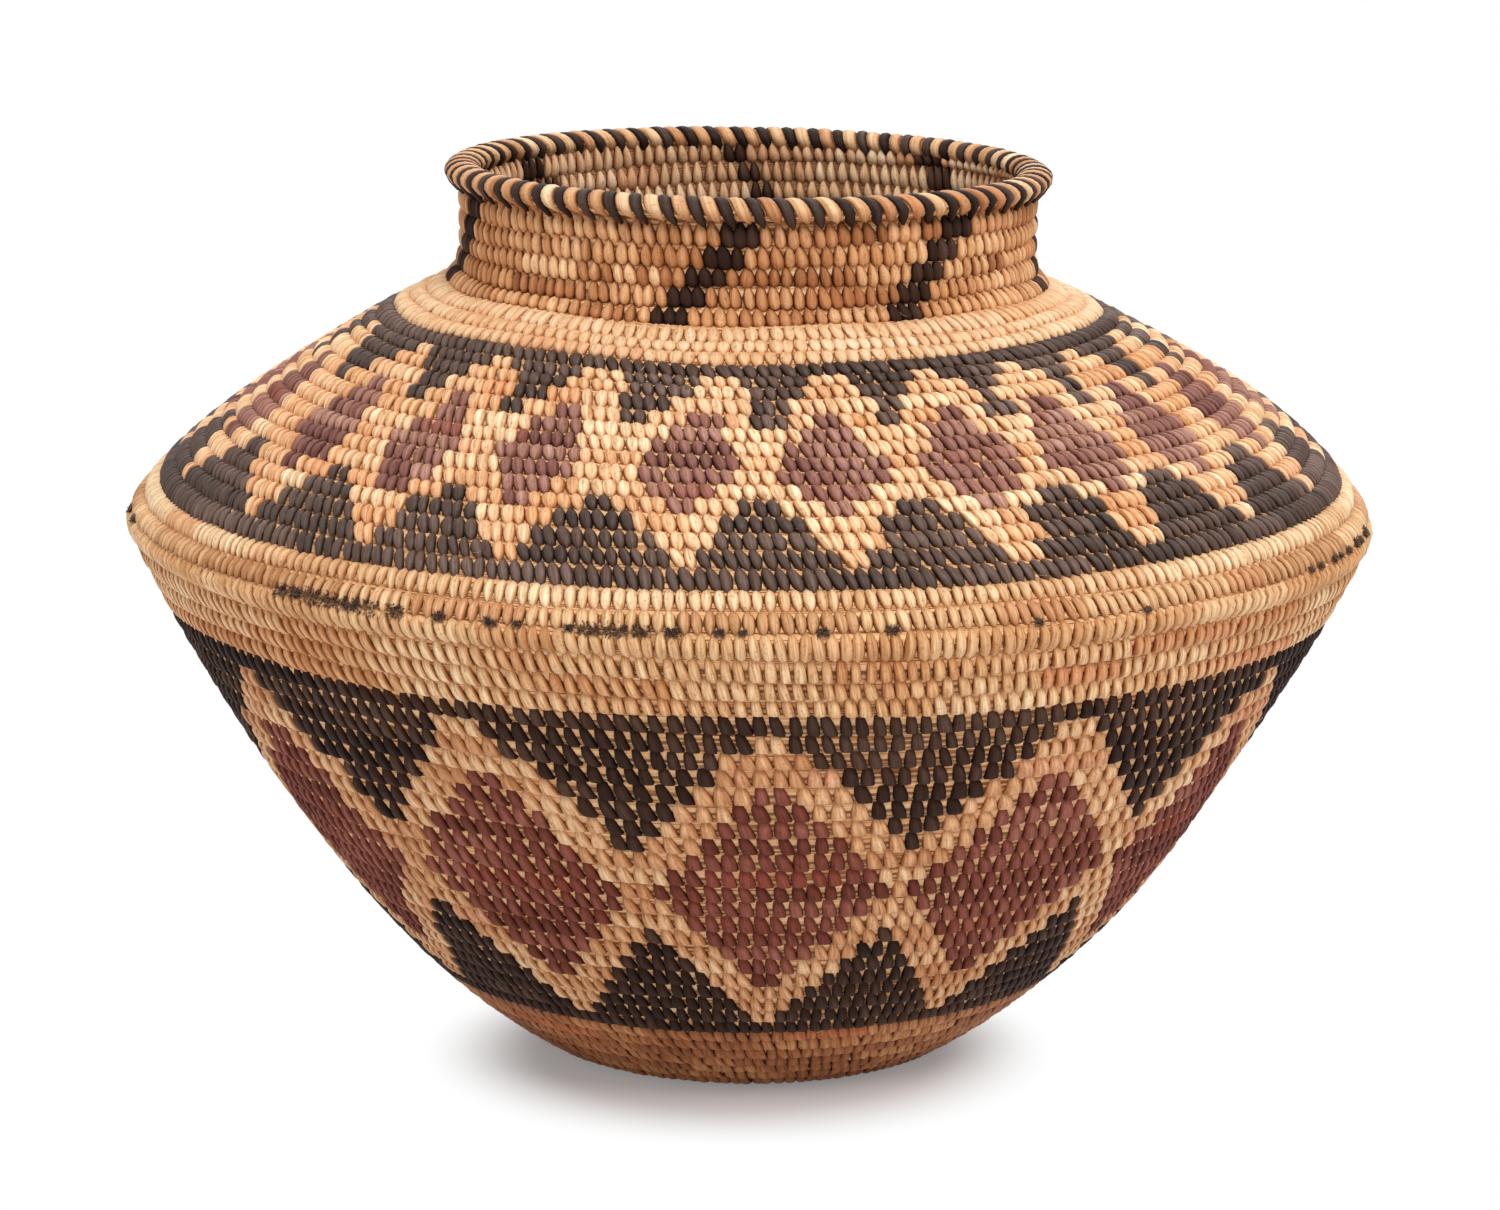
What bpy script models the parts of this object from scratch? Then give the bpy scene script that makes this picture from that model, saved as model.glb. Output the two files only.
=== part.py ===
"""Bottleneck basket, sewn from one long coil of grass.

The maker starts with a small knot at the middle of the base and winds the coil round it,
row on row, sewing each row to the one before. The flat base turns up into a wide belly, the
belly closes at a ridge, the shoulder runs in to a narrow neck, and two strips of palm leaf,
one dark and one natural, are whipped round the rim.

Each stretch of the coil is one object that starts and stops where the maker changes strip,
so the stretches wind into each other. Metres, +Z up, the flat underside at z = 0.
"""
import math
from bisect import bisect_left

import bmesh
import bpy

# The outline of the outer face, from the foot to the rim
FOOT_R = 0.0600
RIDGE_R = 0.1812
RIDGE_Z = 0.1570
RIDGE_ROUND = 0.0030
NECK_R = 0.0834
NECK_ROUND = 0.0085
NECK_HEIGHT = 0.0290
RIM_Z = 0.2555

NECK_FOOT_Z = RIM_Z - NECK_HEIGHT
FOOT_ANGLE = math.radians(30)
BELLY_ANGLE = math.radians(62)
SHOULDER_ANGLE = math.radians(124)
NECK_FOOT_ANGLE = math.radians(158)
FOOT_REACH_SHARE = 0.33
BELLY_REACH_SHARE = 0.33
SHOULDER_REACH_SHARE = 0.29
NECK_REACH_SHARE = 0.22

# The wall: one coil thick, with a groove between rows
COIL_THICKNESS = 0.0058
GROOVE_DEPTH = 0.0010
FIT_GAP = 0.0003

# The rows of each stretch, and where its top edge lies at the front: the belly and the waist
# end under the ridge, the ridge rows over it, and the shoulder and the collar under the neck
KNOT_R = 0.0080
BASE_ROWS = 8
FOOT_ROWS = 7
FOOT_TOP_Z = 0.0257
BELLY_THIRD_ROWS = 7
BELLY_DROP = 0.0228
WAIST_ROWS = 3
WAIST_DROP = 0.0054
RIDGE_ROWS = 3
RIDGE_RISE = 0.0123
LOW_SHOULDER_ROWS = 7
HIGH_SHOULDER_ROWS = 8
SHOULDER_DROP = 0.0084
COLLAR_ROWS = 3
COLLAR_DROP = 0.0015
NECK_ROWS = 5

# The rim: a thin coil that two strips are whipped round
RIM_TUBE_R = 0.0043
RIM_CORE_R = 0.0031
RIM_WRAPS = 65
RIM_SIDES = 5

SIDES = 24
START_TURN = 0.25
FRONT_SHARE = 0.5
LAND_SHARE = 0.25
LAST_ROW_SHARE = 0.15
PATH_STEPS = 60

NATURAL = (0.62, 0.38, 0.17, 1.0)
SHADED_NATURAL = (0.45, 0.25, 0.11, 1.0)
PALE_NATURAL = (0.70, 0.48, 0.25, 1.0)
AMBER_NATURAL = (0.55, 0.30, 0.12, 1.0)
PLUM = (0.14, 0.055, 0.045, 1.0)
DARK = (0.035, 0.025, 0.020, 1.0)
STRAW = (0.58, 0.38, 0.16, 1.0)


def clear_scene():
    for thing in list(bpy.data.objects):
        bpy.data.objects.remove(thing, do_unlink=True)


def palm_material(name, colour, roughness):
    material = bpy.data.materials.new(name)
    material.use_nodes = True
    shader = material.node_tree.nodes["Principled BSDF"]
    shader.inputs["Base Color"].default_value = colour
    shader.inputs["Roughness"].default_value = roughness
    shader.inputs["Metallic"].default_value = 0.0
    return material


def bezier(points, steps):
    """Points along a Bezier curve of any degree, its last point left out."""
    curve = []
    for k in range(steps):
        t = k / steps
        row = list(points)
        while len(row) > 1:
            row = [tuple((1 - t) * a + t * b for a, b in zip(p, q)) for p, q in zip(row, row[1:])]
        curve.append(row[0])
    return curve


def ahead(point, angle, distance):
    return (point[0] + distance * math.cos(angle), point[1] + distance * math.sin(angle))


def outline():
    """The outer face as (radius, height) points, from the middle of the base to the rim."""
    foot = (FOOT_R, 0.0)
    ridge = (RIDGE_R, RIDGE_Z)
    neck_foot = (NECK_R, NECK_FOOT_Z)
    ridge_in = ahead(ridge, BELLY_ANGLE, -RIDGE_ROUND)
    ridge_out = ahead(ridge, SHOULDER_ANGLE, RIDGE_ROUND)
    neck_in = ahead(neck_foot, NECK_FOOT_ANGLE, -NECK_ROUND)
    neck_out = (NECK_R, NECK_FOOT_Z + NECK_ROUND)
    belly = math.dist(foot, ridge_in)
    shoulder = math.dist(ridge_out, neck_in)
    path = [(0.0, 0.0)]
    path += bezier([foot,
                    ahead(foot, FOOT_ANGLE, belly * FOOT_REACH_SHARE),
                    ahead(ridge_in, BELLY_ANGLE, -belly * BELLY_REACH_SHARE),
                    ridge_in], PATH_STEPS)
    path += bezier([ridge_in, ridge, ridge_out], PATH_STEPS)
    path += bezier([ridge_out,
                    ahead(ridge_out, SHOULDER_ANGLE, shoulder * SHOULDER_REACH_SHARE),
                    ahead(neck_in, NECK_FOOT_ANGLE, -shoulder * NECK_REACH_SHARE),
                    neck_in], PATH_STEPS)
    path += bezier([neck_in, neck_foot, neck_out], PATH_STEPS)
    path += [neck_out, (NECK_R, RIM_Z + RIM_TUBE_R)]
    return path


PATH = outline()
PATH_R = [point[0] for point in PATH]
PATH_Z = [point[1] for point in PATH]
PATH_LENGTH = [0.0]
for before, after in zip(PATH, PATH[1:]):
    PATH_LENGTH.append(PATH_LENGTH[-1] + math.dist(before, after))


def between(value, xs, ys):
    """Straight-line reading of ys at value, run on past both ends of xs."""
    k = min(max(bisect_left(xs, value) - 1, 0), len(xs) - 2)
    share = (value - xs[k]) / (xs[k + 1] - xs[k])
    return ys[k] + share * (ys[k + 1] - ys[k])


def outer_point(length):
    return (between(length, PATH_LENGTH, PATH_R), between(length, PATH_LENGTH, PATH_Z))


def inward(length):
    """The way into the basket, square to the outer face smoothed over one coil."""
    low = outer_point(max(0.0, length - COIL_THICKNESS))
    high = outer_point(length + COIL_THICKNESS)
    run = math.dist(low, high)
    return (-(high[1] - low[1]) / run, (high[0] - low[0]) / run)


def length_at_height(height):
    return between(height, PATH_Z[1:], PATH_LENGTH[1:])


# Where the coil is after each number of turns: length along the outline against turns
RIM_SEAT_Z = RIM_Z - RIM_TUBE_R * math.cos(math.pi / RIM_SIDES)
BELLY_ROWS = 3 * BELLY_THIRD_ROWS
SHOULDER_ROWS = LOW_SHOULDER_ROWS + HIGH_SHOULDER_ROWS
ROWS = [BASE_ROWS, FOOT_ROWS, BELLY_ROWS, WAIST_ROWS, RIDGE_ROWS, SHOULDER_ROWS, COLLAR_ROWS, NECK_ROWS]
TURNS = [0]
for count in ROWS:
    TURNS.append(TURNS[-1] + count)
EDGES = [KNOT_R, FOOT_R] + [length_at_height(z) for z in (
    FOOT_TOP_Z, RIDGE_Z - BELLY_DROP, RIDGE_Z - WAIST_DROP, RIDGE_Z + RIDGE_RISE,
    NECK_FOOT_Z - SHOULDER_DROP, NECK_FOOT_Z - COLLAR_DROP)]
NECK_TOP = length_at_height(RIM_SEAT_Z - 2 * FIT_GAP)
NECK_PITCH = (NECK_TOP - EDGES[-1]) / (NECK_ROWS + LAST_ROW_SHARE - FRONT_SHARE)
EDGES.append(EDGES[-1] + NECK_PITCH * NECK_ROWS)


def coil_length(turn):
    """Length along the outline of the seam under the coil, after a number of turns."""
    last = TURNS[-1]
    if turn > last:
        return coil_length(last) + (turn - last) * NECK_PITCH * LAST_ROW_SHARE
    if turn < FRONT_SHARE:
        return KNOT_R + turn * (coil_length(1) - KNOT_R)
    return between(turn - FRONT_SHARE, TURNS, EDGES)


def place(radius, height, turn, shift=0.0):
    """A point at a radius and height, some turns along the coil, moved round by shift."""
    angle = 2 * math.pi * (START_TURN - turn)
    if shift:
        angle -= shift / radius
    return (radius * math.cos(angle), radius * math.sin(angle), height)


def section_points(turn, edge_shift, turn_shift, depths):
    """Points through the wall at one place: how deep each lies under the outer face."""
    length = coil_length(turn) + edge_shift
    radius, height = outer_point(length)
    way = inward(length)
    return [place(radius + d * way[0], height + d * way[1], turn, turn_shift) for d in depths]


def add_object(name, points, faces, material, smooth_angle):
    mesh = bpy.data.meshes.new(name)
    mesh.from_pydata(points, [], faces)
    work = bmesh.new()
    work.from_mesh(mesh)
    bmesh.ops.recalc_face_normals(work, faces=work.faces)
    work.to_mesh(mesh)
    work.free()
    mesh.shade_smooth()
    mesh.set_sharp_from_angle(angle=smooth_angle)
    mesh.materials.append(material)
    thing = bpy.data.objects.new(name, mesh)
    bpy.context.scene.collection.objects.link(thing)
    return thing


def coil(name, first, rows, crest_shares, material):
    """One stretch of the wound coil: rows that climb one row's width in each turn.

    crest_shares say where, across a row, its outer face has an edge. The seams between
    rows lie GROOVE_DEPTH under that face, and the inner face is flat across each row.
    """
    steps = rows * SIDES
    points, faces, seam, crest = [], [], [], []

    def add(new_points):
        points.extend(new_points)
        return list(range(len(points) - len(new_points), len(points)))

    for i in range(steps + SIDES + 1):
        turn = first + i / SIDES
        edge_shift = FIT_GAP / 2 if i <= SIDES else 0.0
        if i >= steps:
            edge_shift = -FIT_GAP / 2
        turn_shift = 0.0
        if i in (0, SIDES):
            turn_shift = FIT_GAP / 2
        if i in (steps, steps + SIDES):
            turn_shift = -FIT_GAP / 2
        seam.append(add(section_points(turn, edge_shift, turn_shift, (GROOVE_DEPTH, COIL_THICKNESS))))
    for i in range(steps + 1):
        turn_shift = FIT_GAP / 2 if i == 0 else (-FIT_GAP / 2 if i == steps else 0.0)
        here = first + i / SIDES
        low, high = coil_length(here), coil_length(here + 1)
        spots = [outer_point(low + share * (high - low)) for share in crest_shares]
        crest.append(add([place(radius, height, here, turn_shift) for radius, height in spots]))

    for i in range(steps):
        near = [seam[i][0]] + crest[i] + [seam[i + SIDES][0]]
        far = [seam[i + 1][0]] + crest[i + 1] + [seam[i + SIDES + 1][0]]
        for k in range(len(near) - 1):
            faces.append((near[k], far[k], far[k + 1], near[k + 1]))
        faces.append((seam[i + SIDES][1], seam[i + SIDES + 1][1], seam[i + 1][1], seam[i][1]))
    for i in range(SIDES):
        faces.append((seam[i][0], seam[i][1], seam[i + 1][1], seam[i + 1][0]))
        top, after = seam[steps + i], seam[steps + i + 1]
        faces.append((top[0], after[0], after[1], top[1]))
    for i in (0, steps):
        ring = [seam[i][0]] + crest[i] + [seam[i + SIDES][0], seam[i + SIDES][1], seam[i][1]]
        faces.append(tuple(ring if i == 0 else ring[::-1]))
    return add_object(name, points, faces, material, math.radians(30))


def start_knot(material):
    """The middle of the base: a snail-shaped pad that the first turn of coil winds off."""
    points = [(0.0, 0.0, 0.0), (0.0, 0.0, COIL_THICKNESS)]
    for i in range(SIDES + 1):
        turn = i / SIDES
        radius = coil_length(turn) - FIT_GAP / 2
        shift = -FIT_GAP / 2 if i in (0, SIDES) else 0.0
        for height in (0.0, COIL_THICKNESS):
            points.append(place(radius, height, turn, shift))
    faces = []
    for i in range(SIDES):
        low, high = 2 + 2 * i, 3 + 2 * i
        faces.append((0, low, low + 2))
        faces.append((1, high + 2, high))
        faces.append((low, high, high + 2, low + 2))
    first, last = 2, 2 + 2 * SIDES
    faces.append((0, last, first))
    faces.append((1, first + 1, last + 1))
    faces.append((first, last, last + 1, first + 1))
    return add_object("start_knot", points, faces, material, math.radians(30))


def rim_spot(tube_r, side, angle):
    """A point round the rim's tube at one of its sides, at an angle about the basket."""
    tube_angle = math.pi / 2 - 2 * math.pi * side / RIM_SIDES
    radius = NECK_R + tube_r * math.cos(tube_angle)
    return (radius * math.cos(angle), radius * math.sin(angle), RIM_Z + tube_r * math.sin(tube_angle))


def rim_core(material):
    """The last row: a closed ring of grass under the whipping."""
    points = []
    for i in range(RIM_WRAPS):
        for side in range(RIM_SIDES):
            points.append(rim_spot(RIM_CORE_R, side, 2 * math.pi * i / RIM_WRAPS))
    faces = []
    for i in range(RIM_WRAPS):
        here, there = i * RIM_SIDES, (i + 1) % RIM_WRAPS * RIM_SIDES
        for side in range(RIM_SIDES):
            after = (side + 1) % RIM_SIDES
            faces.append((here + side, here + after, there + after, there + side))
    return add_object("rim_core", points, faces, material, math.radians(40))


def rim_wrap(name, phase, material):
    """One strip whipped round the rim, beside the other strip, with its edges on the core."""
    pitch = 2 * math.pi / RIM_WRAPS
    half = pitch / 4 - FIT_GAP / (NECK_R - RIM_TUBE_R) / 2
    seat = RIM_CORE_R + FIT_GAP / math.cos(math.pi / RIM_SIDES)
    steps = RIM_WRAPS * RIM_SIDES
    points, faces = [], []
    for i in range(steps):
        angle = pitch * (i / RIM_SIDES + phase)
        points.append(rim_spot(seat, i, angle - half))
        points.append(rim_spot(RIM_TUBE_R, i, angle))
        points.append(rim_spot(seat, i, angle + half))
    for i in range(steps):
        here, there = 3 * i, 3 * ((i + 1) % steps)
        for k in range(3):
            after = (k + 1) % 3
            faces.append((here + k, there + k, there + after, here + after))
    return add_object(name, points, faces, material, math.radians(40))


def main():
    clear_scene()
    palm = palm_material("natural_palm", NATURAL, 0.60)
    shaded = palm_material("shaded_palm", SHADED_NATURAL, 0.65)
    pale = palm_material("pale_palm", PALE_NATURAL, 0.55)
    amber = palm_material("amber_palm", AMBER_NATURAL, 0.60)
    plum = palm_material("plum_palm", PLUM, 0.60)
    dark = palm_material("dark_palm", DARK, 0.60)
    straw = palm_material("straw", STRAW, 0.75)

    land = (LAND_SHARE, 1 - LAND_SHARE)
    middle = (0.5,)
    start_knot(shaded)
    turn = 0
    for name, rows, crest_shares, material in (
            ("base_coil", BASE_ROWS, land, shaded),
            ("foot_coil", FOOT_ROWS, middle, shaded),
            ("lower_belly_coil", BELLY_THIRD_ROWS, middle, dark),
            ("middle_belly_coil", BELLY_THIRD_ROWS, middle, plum),
            ("upper_belly_coil", BELLY_THIRD_ROWS, middle, dark),
            ("waist_coil", WAIST_ROWS, middle, palm),
            ("ridge_coil", RIDGE_ROWS, middle, pale),
            ("lower_shoulder_coil", LOW_SHOULDER_ROWS, middle, plum),
            ("upper_shoulder_coil", HIGH_SHOULDER_ROWS, middle, dark),
            ("collar_coil", COLLAR_ROWS, middle, pale),
            ("neck_coil", NECK_ROWS, middle, amber)):
        coil(name, turn, rows, crest_shares, material)
        turn += rows
    rim_core(straw)
    rim_wrap("rim_wrap_dark", 0.0, dark)
    rim_wrap("rim_wrap_natural", 0.5, palm)
    print("turns of coil:", turn)


main()
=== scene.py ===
import math

import bpy
import numpy as np
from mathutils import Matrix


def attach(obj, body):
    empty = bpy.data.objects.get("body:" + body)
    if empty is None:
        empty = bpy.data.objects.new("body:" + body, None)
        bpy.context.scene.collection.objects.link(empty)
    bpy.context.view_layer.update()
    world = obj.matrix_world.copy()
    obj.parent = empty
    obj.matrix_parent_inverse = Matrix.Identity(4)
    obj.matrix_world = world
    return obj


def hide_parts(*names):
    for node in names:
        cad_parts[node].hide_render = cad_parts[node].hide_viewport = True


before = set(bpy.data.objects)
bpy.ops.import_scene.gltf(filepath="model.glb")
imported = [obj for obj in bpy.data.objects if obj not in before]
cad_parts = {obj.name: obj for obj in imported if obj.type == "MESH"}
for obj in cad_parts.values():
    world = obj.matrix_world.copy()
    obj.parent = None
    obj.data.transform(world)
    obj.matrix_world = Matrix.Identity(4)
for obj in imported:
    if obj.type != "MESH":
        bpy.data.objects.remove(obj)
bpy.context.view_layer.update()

scene = bpy.context.scene

# The coil of grass that the wall is made of. One bundle of split grass is wound from the middle of
# the base to the rim, clockwise as seen from above, and each turn lies on the turn before it and is
# sewn to it. It shows as fine straw-coloured fibres in the gaps between the stitches.
foot_r = 0.0600
foot_angle = 30
ridge_r = 0.1812
ridge_z = 0.1570
ridge_round = 0.0030
belly_angle = 62
belly_pull_share = 0.33
shoulder_angle = 124
shoulder_foot_pull_share = 0.29
shoulder_top_pull_share = 0.22
neck_r = 0.0834
neck_foot_z = 0.2265
neck_foot_angle = 158
neck_round = 0.0085
rim_z = 0.2555
rim_tube_r = 0.0043
knot_r = 0.0080
coil_thickness = 0.0058


def curve_through(corners, steps=60):
    """Points of a smooth curve that leaves and meets its end corners along the others."""
    share = np.linspace(0, 1, steps, endpoint=False)[:, None]
    lines = [np.array(corner, float)[None, :] + 0 * share for corner in corners]
    while len(lines) > 1:
        lines = [(1 - share) * p + share * q for p, q in zip(lines, lines[1:])]
    return lines[0]


def ahead(point, degrees, distance):
    """The point of the outline's plane at a distance and an angle from another."""
    way = math.radians(degrees)
    return (point[0] + distance * math.cos(way), point[1] + distance * math.sin(way))


ridge_in = ahead((ridge_r, ridge_z), belly_angle, -ridge_round)
ridge_out = ahead((ridge_r, ridge_z), shoulder_angle, ridge_round)
neck_in = ahead((neck_r, neck_foot_z), neck_foot_angle, -neck_round)
neck_out = (neck_r, neck_foot_z + neck_round)
over_rim = (neck_r, rim_z + 3 * rim_tube_r)
belly_pull = belly_pull_share * math.dist((foot_r, 0), ridge_in)
shoulder_run = math.dist(ridge_out, neck_in)
outline = np.concatenate([
    [(0, 0)],
    curve_through([(foot_r, 0), ahead((foot_r, 0), foot_angle, belly_pull),
                   ahead(ridge_in, belly_angle, -belly_pull), ridge_in]),
    curve_through([ridge_in, (ridge_r, ridge_z), ridge_out]),
    curve_through([ridge_out, ahead(ridge_out, shoulder_angle, shoulder_run * shoulder_foot_pull_share),
                   ahead(neck_in, neck_foot_angle, -shoulder_run * shoulder_top_pull_share), neck_in]),
    curve_through([neck_in, (neck_r, neck_foot_z), neck_out]),
    [neck_out, over_rim]])
outline_run = np.concatenate([[0], np.cumsum(np.hypot(*np.diff(outline, axis=0).T))])


def length_at(height):
    """Length along the outline, from the middle of the base, at a height."""
    return float(np.interp(height, outline[1:, 1], outline_run[1:]))


# Each stretch of coil, from the base up, has its number of rows and the heights of its seams at the
# front. A single height is that of the seam over its top row, with even rows under it. The base
# lies flat and has none. The seams go on for two turns past the neck, under the rim.
top_seam_drop = 0.0030
stretches = {"base": (8, ()),
             "foot": (7, (0.0257,)),
             "belly": (21, (0.1342,)),
             "waist": (3, (0.1397, 0.1455, 0.1513)),
             "ridge": (3, (0.1594, 0.1649, 0.1696)),
             "shoulder": (15, (0.1744, 0.1784, 0.1823, 0.1860, 0.1893, 0.1927, 0.1960, 0.1989,
                               0.2019, 0.2050, 0.2080, 0.2112, 0.2136, 0.2157, 0.2183)),
             "collar": (3, (0.2206, 0.2227, 0.2259)),
             "neck": (5, (0.2297, 0.2349, 0.2401, 0.2461, rim_z - top_seam_drop))}
to_front = 0.5
first_turn, rows_of, seam_turns, seam_lengths = {}, {}, [0.0], [knot_r]
for stretch, (rows, tops) in stretches.items():
    first_turn[stretch] = int(sum(rows_of.values()))
    rows_of[stretch] = rows
    step = rows / max(len(tops), 1)
    seam_turns += [first_turn[stretch] + step * (k + 1) + to_front for k in range(max(len(tops), 1))]
    seam_lengths += [length_at(top) for top in tops] or [foot_r]
row_under_rim = 0.0025
highest_length = seam_lengths[-1] + row_under_rim
seam_turns.append(seam_turns[-1] + 2)
seam_lengths.append(3 * seam_lengths[-1] - 2 * seam_lengths[-2])
coil_end_share = 0.7
last_turn = first_turn["neck"] + rows_of["neck"] + coil_end_share

# As the coil climbs a row in each turn, a quarter of a row more on one side and less on the other
# makes the rows look level from the front and puts the step up at the back.
quarter_row = 0.0015
quarter_row_from = (0.06, 0.14)

# the faults of handwork: how far the seams drift, how much the basket leans, and where its wall
# swells in and out or stands fuller
hand_drift, finer_hand_drift = 0.00022, 0.00016
drift_waves, finer_drift_waves = 33.1, 71.3
basket_lean, neck_lean = 0.0080, 0.0075
basket_lean_from, neck_lean_from = (0.0, 0.05), (0.19, 0.24)
swell, finer_swell = 0.0005, 0.0004
swell_waves, finer_swell_waves = 3, 7
swell_twist, finer_swell_twist = 30, 55
swell_from, swell_to = (0.07, 0.19), (0.37, 0.42)
fuller_right = 0.0014
fuller_from, fuller_to = (0.17, 0.24), (0.27, 0.34)


def ease(value, low, high):
    """0 under low, 1 over high, and smooth between them."""
    share = np.clip((value - low) / (high - low), 0, 1)
    return share * share * (3 - 2 * share)


def way_round(turn):
    """Angle round the basket at a turn. A turn starts at the back and runs clockwise from above."""
    return 2 * math.pi * (0.25 - turn)


def seam(turn):
    """Length along the outline of the seam under the coil, with the small drift of handwork."""
    drift = hand_drift * np.sin(turn * drift_waves)
    drift = drift + finer_hand_drift * np.sin(turn * finer_drift_waves + 1.0)
    return np.interp(turn, seam_turns, seam_lengths) + drift * np.clip(turn / rows_of["base"], 0, 1)


def row_edges(turn):
    """The seams under and over the row at a turn. The last row dies away under the rim."""
    low = seam(turn)
    under_rim = highest_length - quarter_row * np.cos(way_round(turn))
    return low, np.minimum(seam(turn + 1), np.maximum(under_rim, low))


def lean(height):
    """How far the finished basket leans to the right, more at the neck than at the belly."""
    return basket_lean * ease(height, *basket_lean_from) + neck_lean * ease(height, *neck_lean_from)


def wall_point(turn, length, depth):
    """A point of the wall, by turns along the coil, length along the outline and depth under it."""
    around = way_round(turn)
    seat = length + quarter_row * np.cos(around) * ease(length, *quarter_row_from)
    low, high = np.maximum(seat - coil_thickness, 0.0), seat + coil_thickness
    reach = np.interp(high, outline_run, outline[:, 0]) - np.interp(low, outline_run, outline[:, 0])
    rise = np.interp(high, outline_run, outline[:, 1]) - np.interp(low, outline_run, outline[:, 1])
    run = np.hypot(rise, reach)
    sunk = swell * np.sin(swell_waves * around + 1.3 + swell_twist * length)
    sunk = sunk + finer_swell * np.sin(finer_swell_waves * around + finer_swell_twist * length)
    sunk = sunk * ease(length, *swell_from) * (1 - ease(length, *swell_to))
    fuller = fuller_right * np.clip(np.cos(around), 0, 1) ** 2
    sunk = depth + (sunk - fuller * ease(length, *fuller_from) * (1 - ease(length, *fuller_to)))
    radius = np.interp(seat, outline_run, outline[:, 0]) - sunk * rise / run
    height = np.interp(seat, outline_run, outline[:, 1]) + sunk * reach / run
    x = radius * np.cos(around)
    return np.stack([x, radius * np.sin(around), height - lean(height) * x], -1)


def new_piece(name, points, loops, sizes, uvs, strip=None):
    """A smooth mesh from arrays: points, the corners of all faces in a row, and corners per face."""
    mesh = bpy.data.meshes.new(name)
    mesh.vertices.add(len(points))
    mesh.vertices.foreach_set("co", np.asarray(points, np.float32).ravel())
    mesh.loops.add(len(loops))
    mesh.loops.foreach_set("vertex_index", loops.astype(np.int32))
    mesh.polygons.add(len(sizes))
    mesh.polygons.foreach_set("loop_start", np.concatenate([[0], np.cumsum(sizes)[:-1]]).astype(np.int32))
    mesh.update(calc_edges=True)
    uv_map = mesh.uv_layers.new(name="strip_uv")
    uv_map.data.foreach_set("uv", np.asarray(uvs, np.float32)[loops].ravel())
    if strip is not None:
        layer = mesh.attributes.new("strip", "FLOAT_COLOR", "POINT")
        layer.data.foreach_set("color", np.asarray(strip, np.float32).ravel())
    mesh.shade_smooth()
    piece = bpy.data.objects.new(name, mesh)
    scene.collection.objects.link(piece)
    return piece


def tube_faces(rings, sides, closed):
    """Faces round a tube of rings, which closes on itself or ends in flat caps."""
    ring = np.arange(sides)
    here = np.arange(rings if closed else rings - 1)[:, None] * sides
    there = (here + sides) % (rings * sides)
    after = (ring + 1) % sides
    loops = np.stack([here + ring, here + after, there + after, there + ring], -1).ravel()
    sizes = np.full(len(loops) // 4, 4)
    if not closed:
        last = (rings - 1) * sides
        loops = np.concatenate([loops, ring[::-1], last + ring])
        sizes = np.concatenate([sizes, [sides, sides]])
    return loops, sizes


def tone(red, green, blue):
    """A colour of the basket in the usual 0 to 255 steps, as a shader wants it."""
    steps = [c / 255 for c in (red, green, blue)]
    return [c / 12.92 if c <= 0.04045 else ((c + 0.055) / 1.055) ** 2.4 for c in steps] + [1.0]


def node_makers(tree):
    """Short ways to add nodes to a tree. Each takes numbers, colours or sockets, and gives a socket."""
    nodes, links = tree.nodes, tree.links

    def put(value, socket):
        if isinstance(value, bpy.types.NodeSocket):
            links.new(value, socket)
        elif value is not None:
            socket.default_value = value

    def maths(kind, first, second=None, third=None, clamp=False):
        node = nodes.new("ShaderNodeMath")
        node.operation, node.use_clamp = kind, clamp
        for value, socket in zip((first, second, third), node.inputs):
            put(value, socket)
        return node.outputs[0]

    def blend(factor, first, second, kind="MIX"):
        node = nodes.new("ShaderNodeMix")
        node.data_type, node.blend_type = "RGBA", kind
        for value, slot in ((factor, 0), (first, 6), (second, 7)):
            put(value, node.inputs[slot])
        return node.outputs[2]

    def noise(where, scale, detail, roughness=0.5):
        node = nodes.new("ShaderNodeTexNoise")
        values = {"Vector": where, "Scale": scale, "Detail": detail, "Roughness": roughness}
        for label, value in values.items():
            put(value, node.inputs[label])
        return node.outputs["Fac"]

    def bump(height, strength, distance):
        node = nodes.new("ShaderNodeBump")
        for label, value in {"Height": height, "Strength": strength, "Distance": distance}.items():
            put(value, node.inputs[label])
        return node.outputs["Normal"]

    return maths, blend, noise, bump


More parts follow.
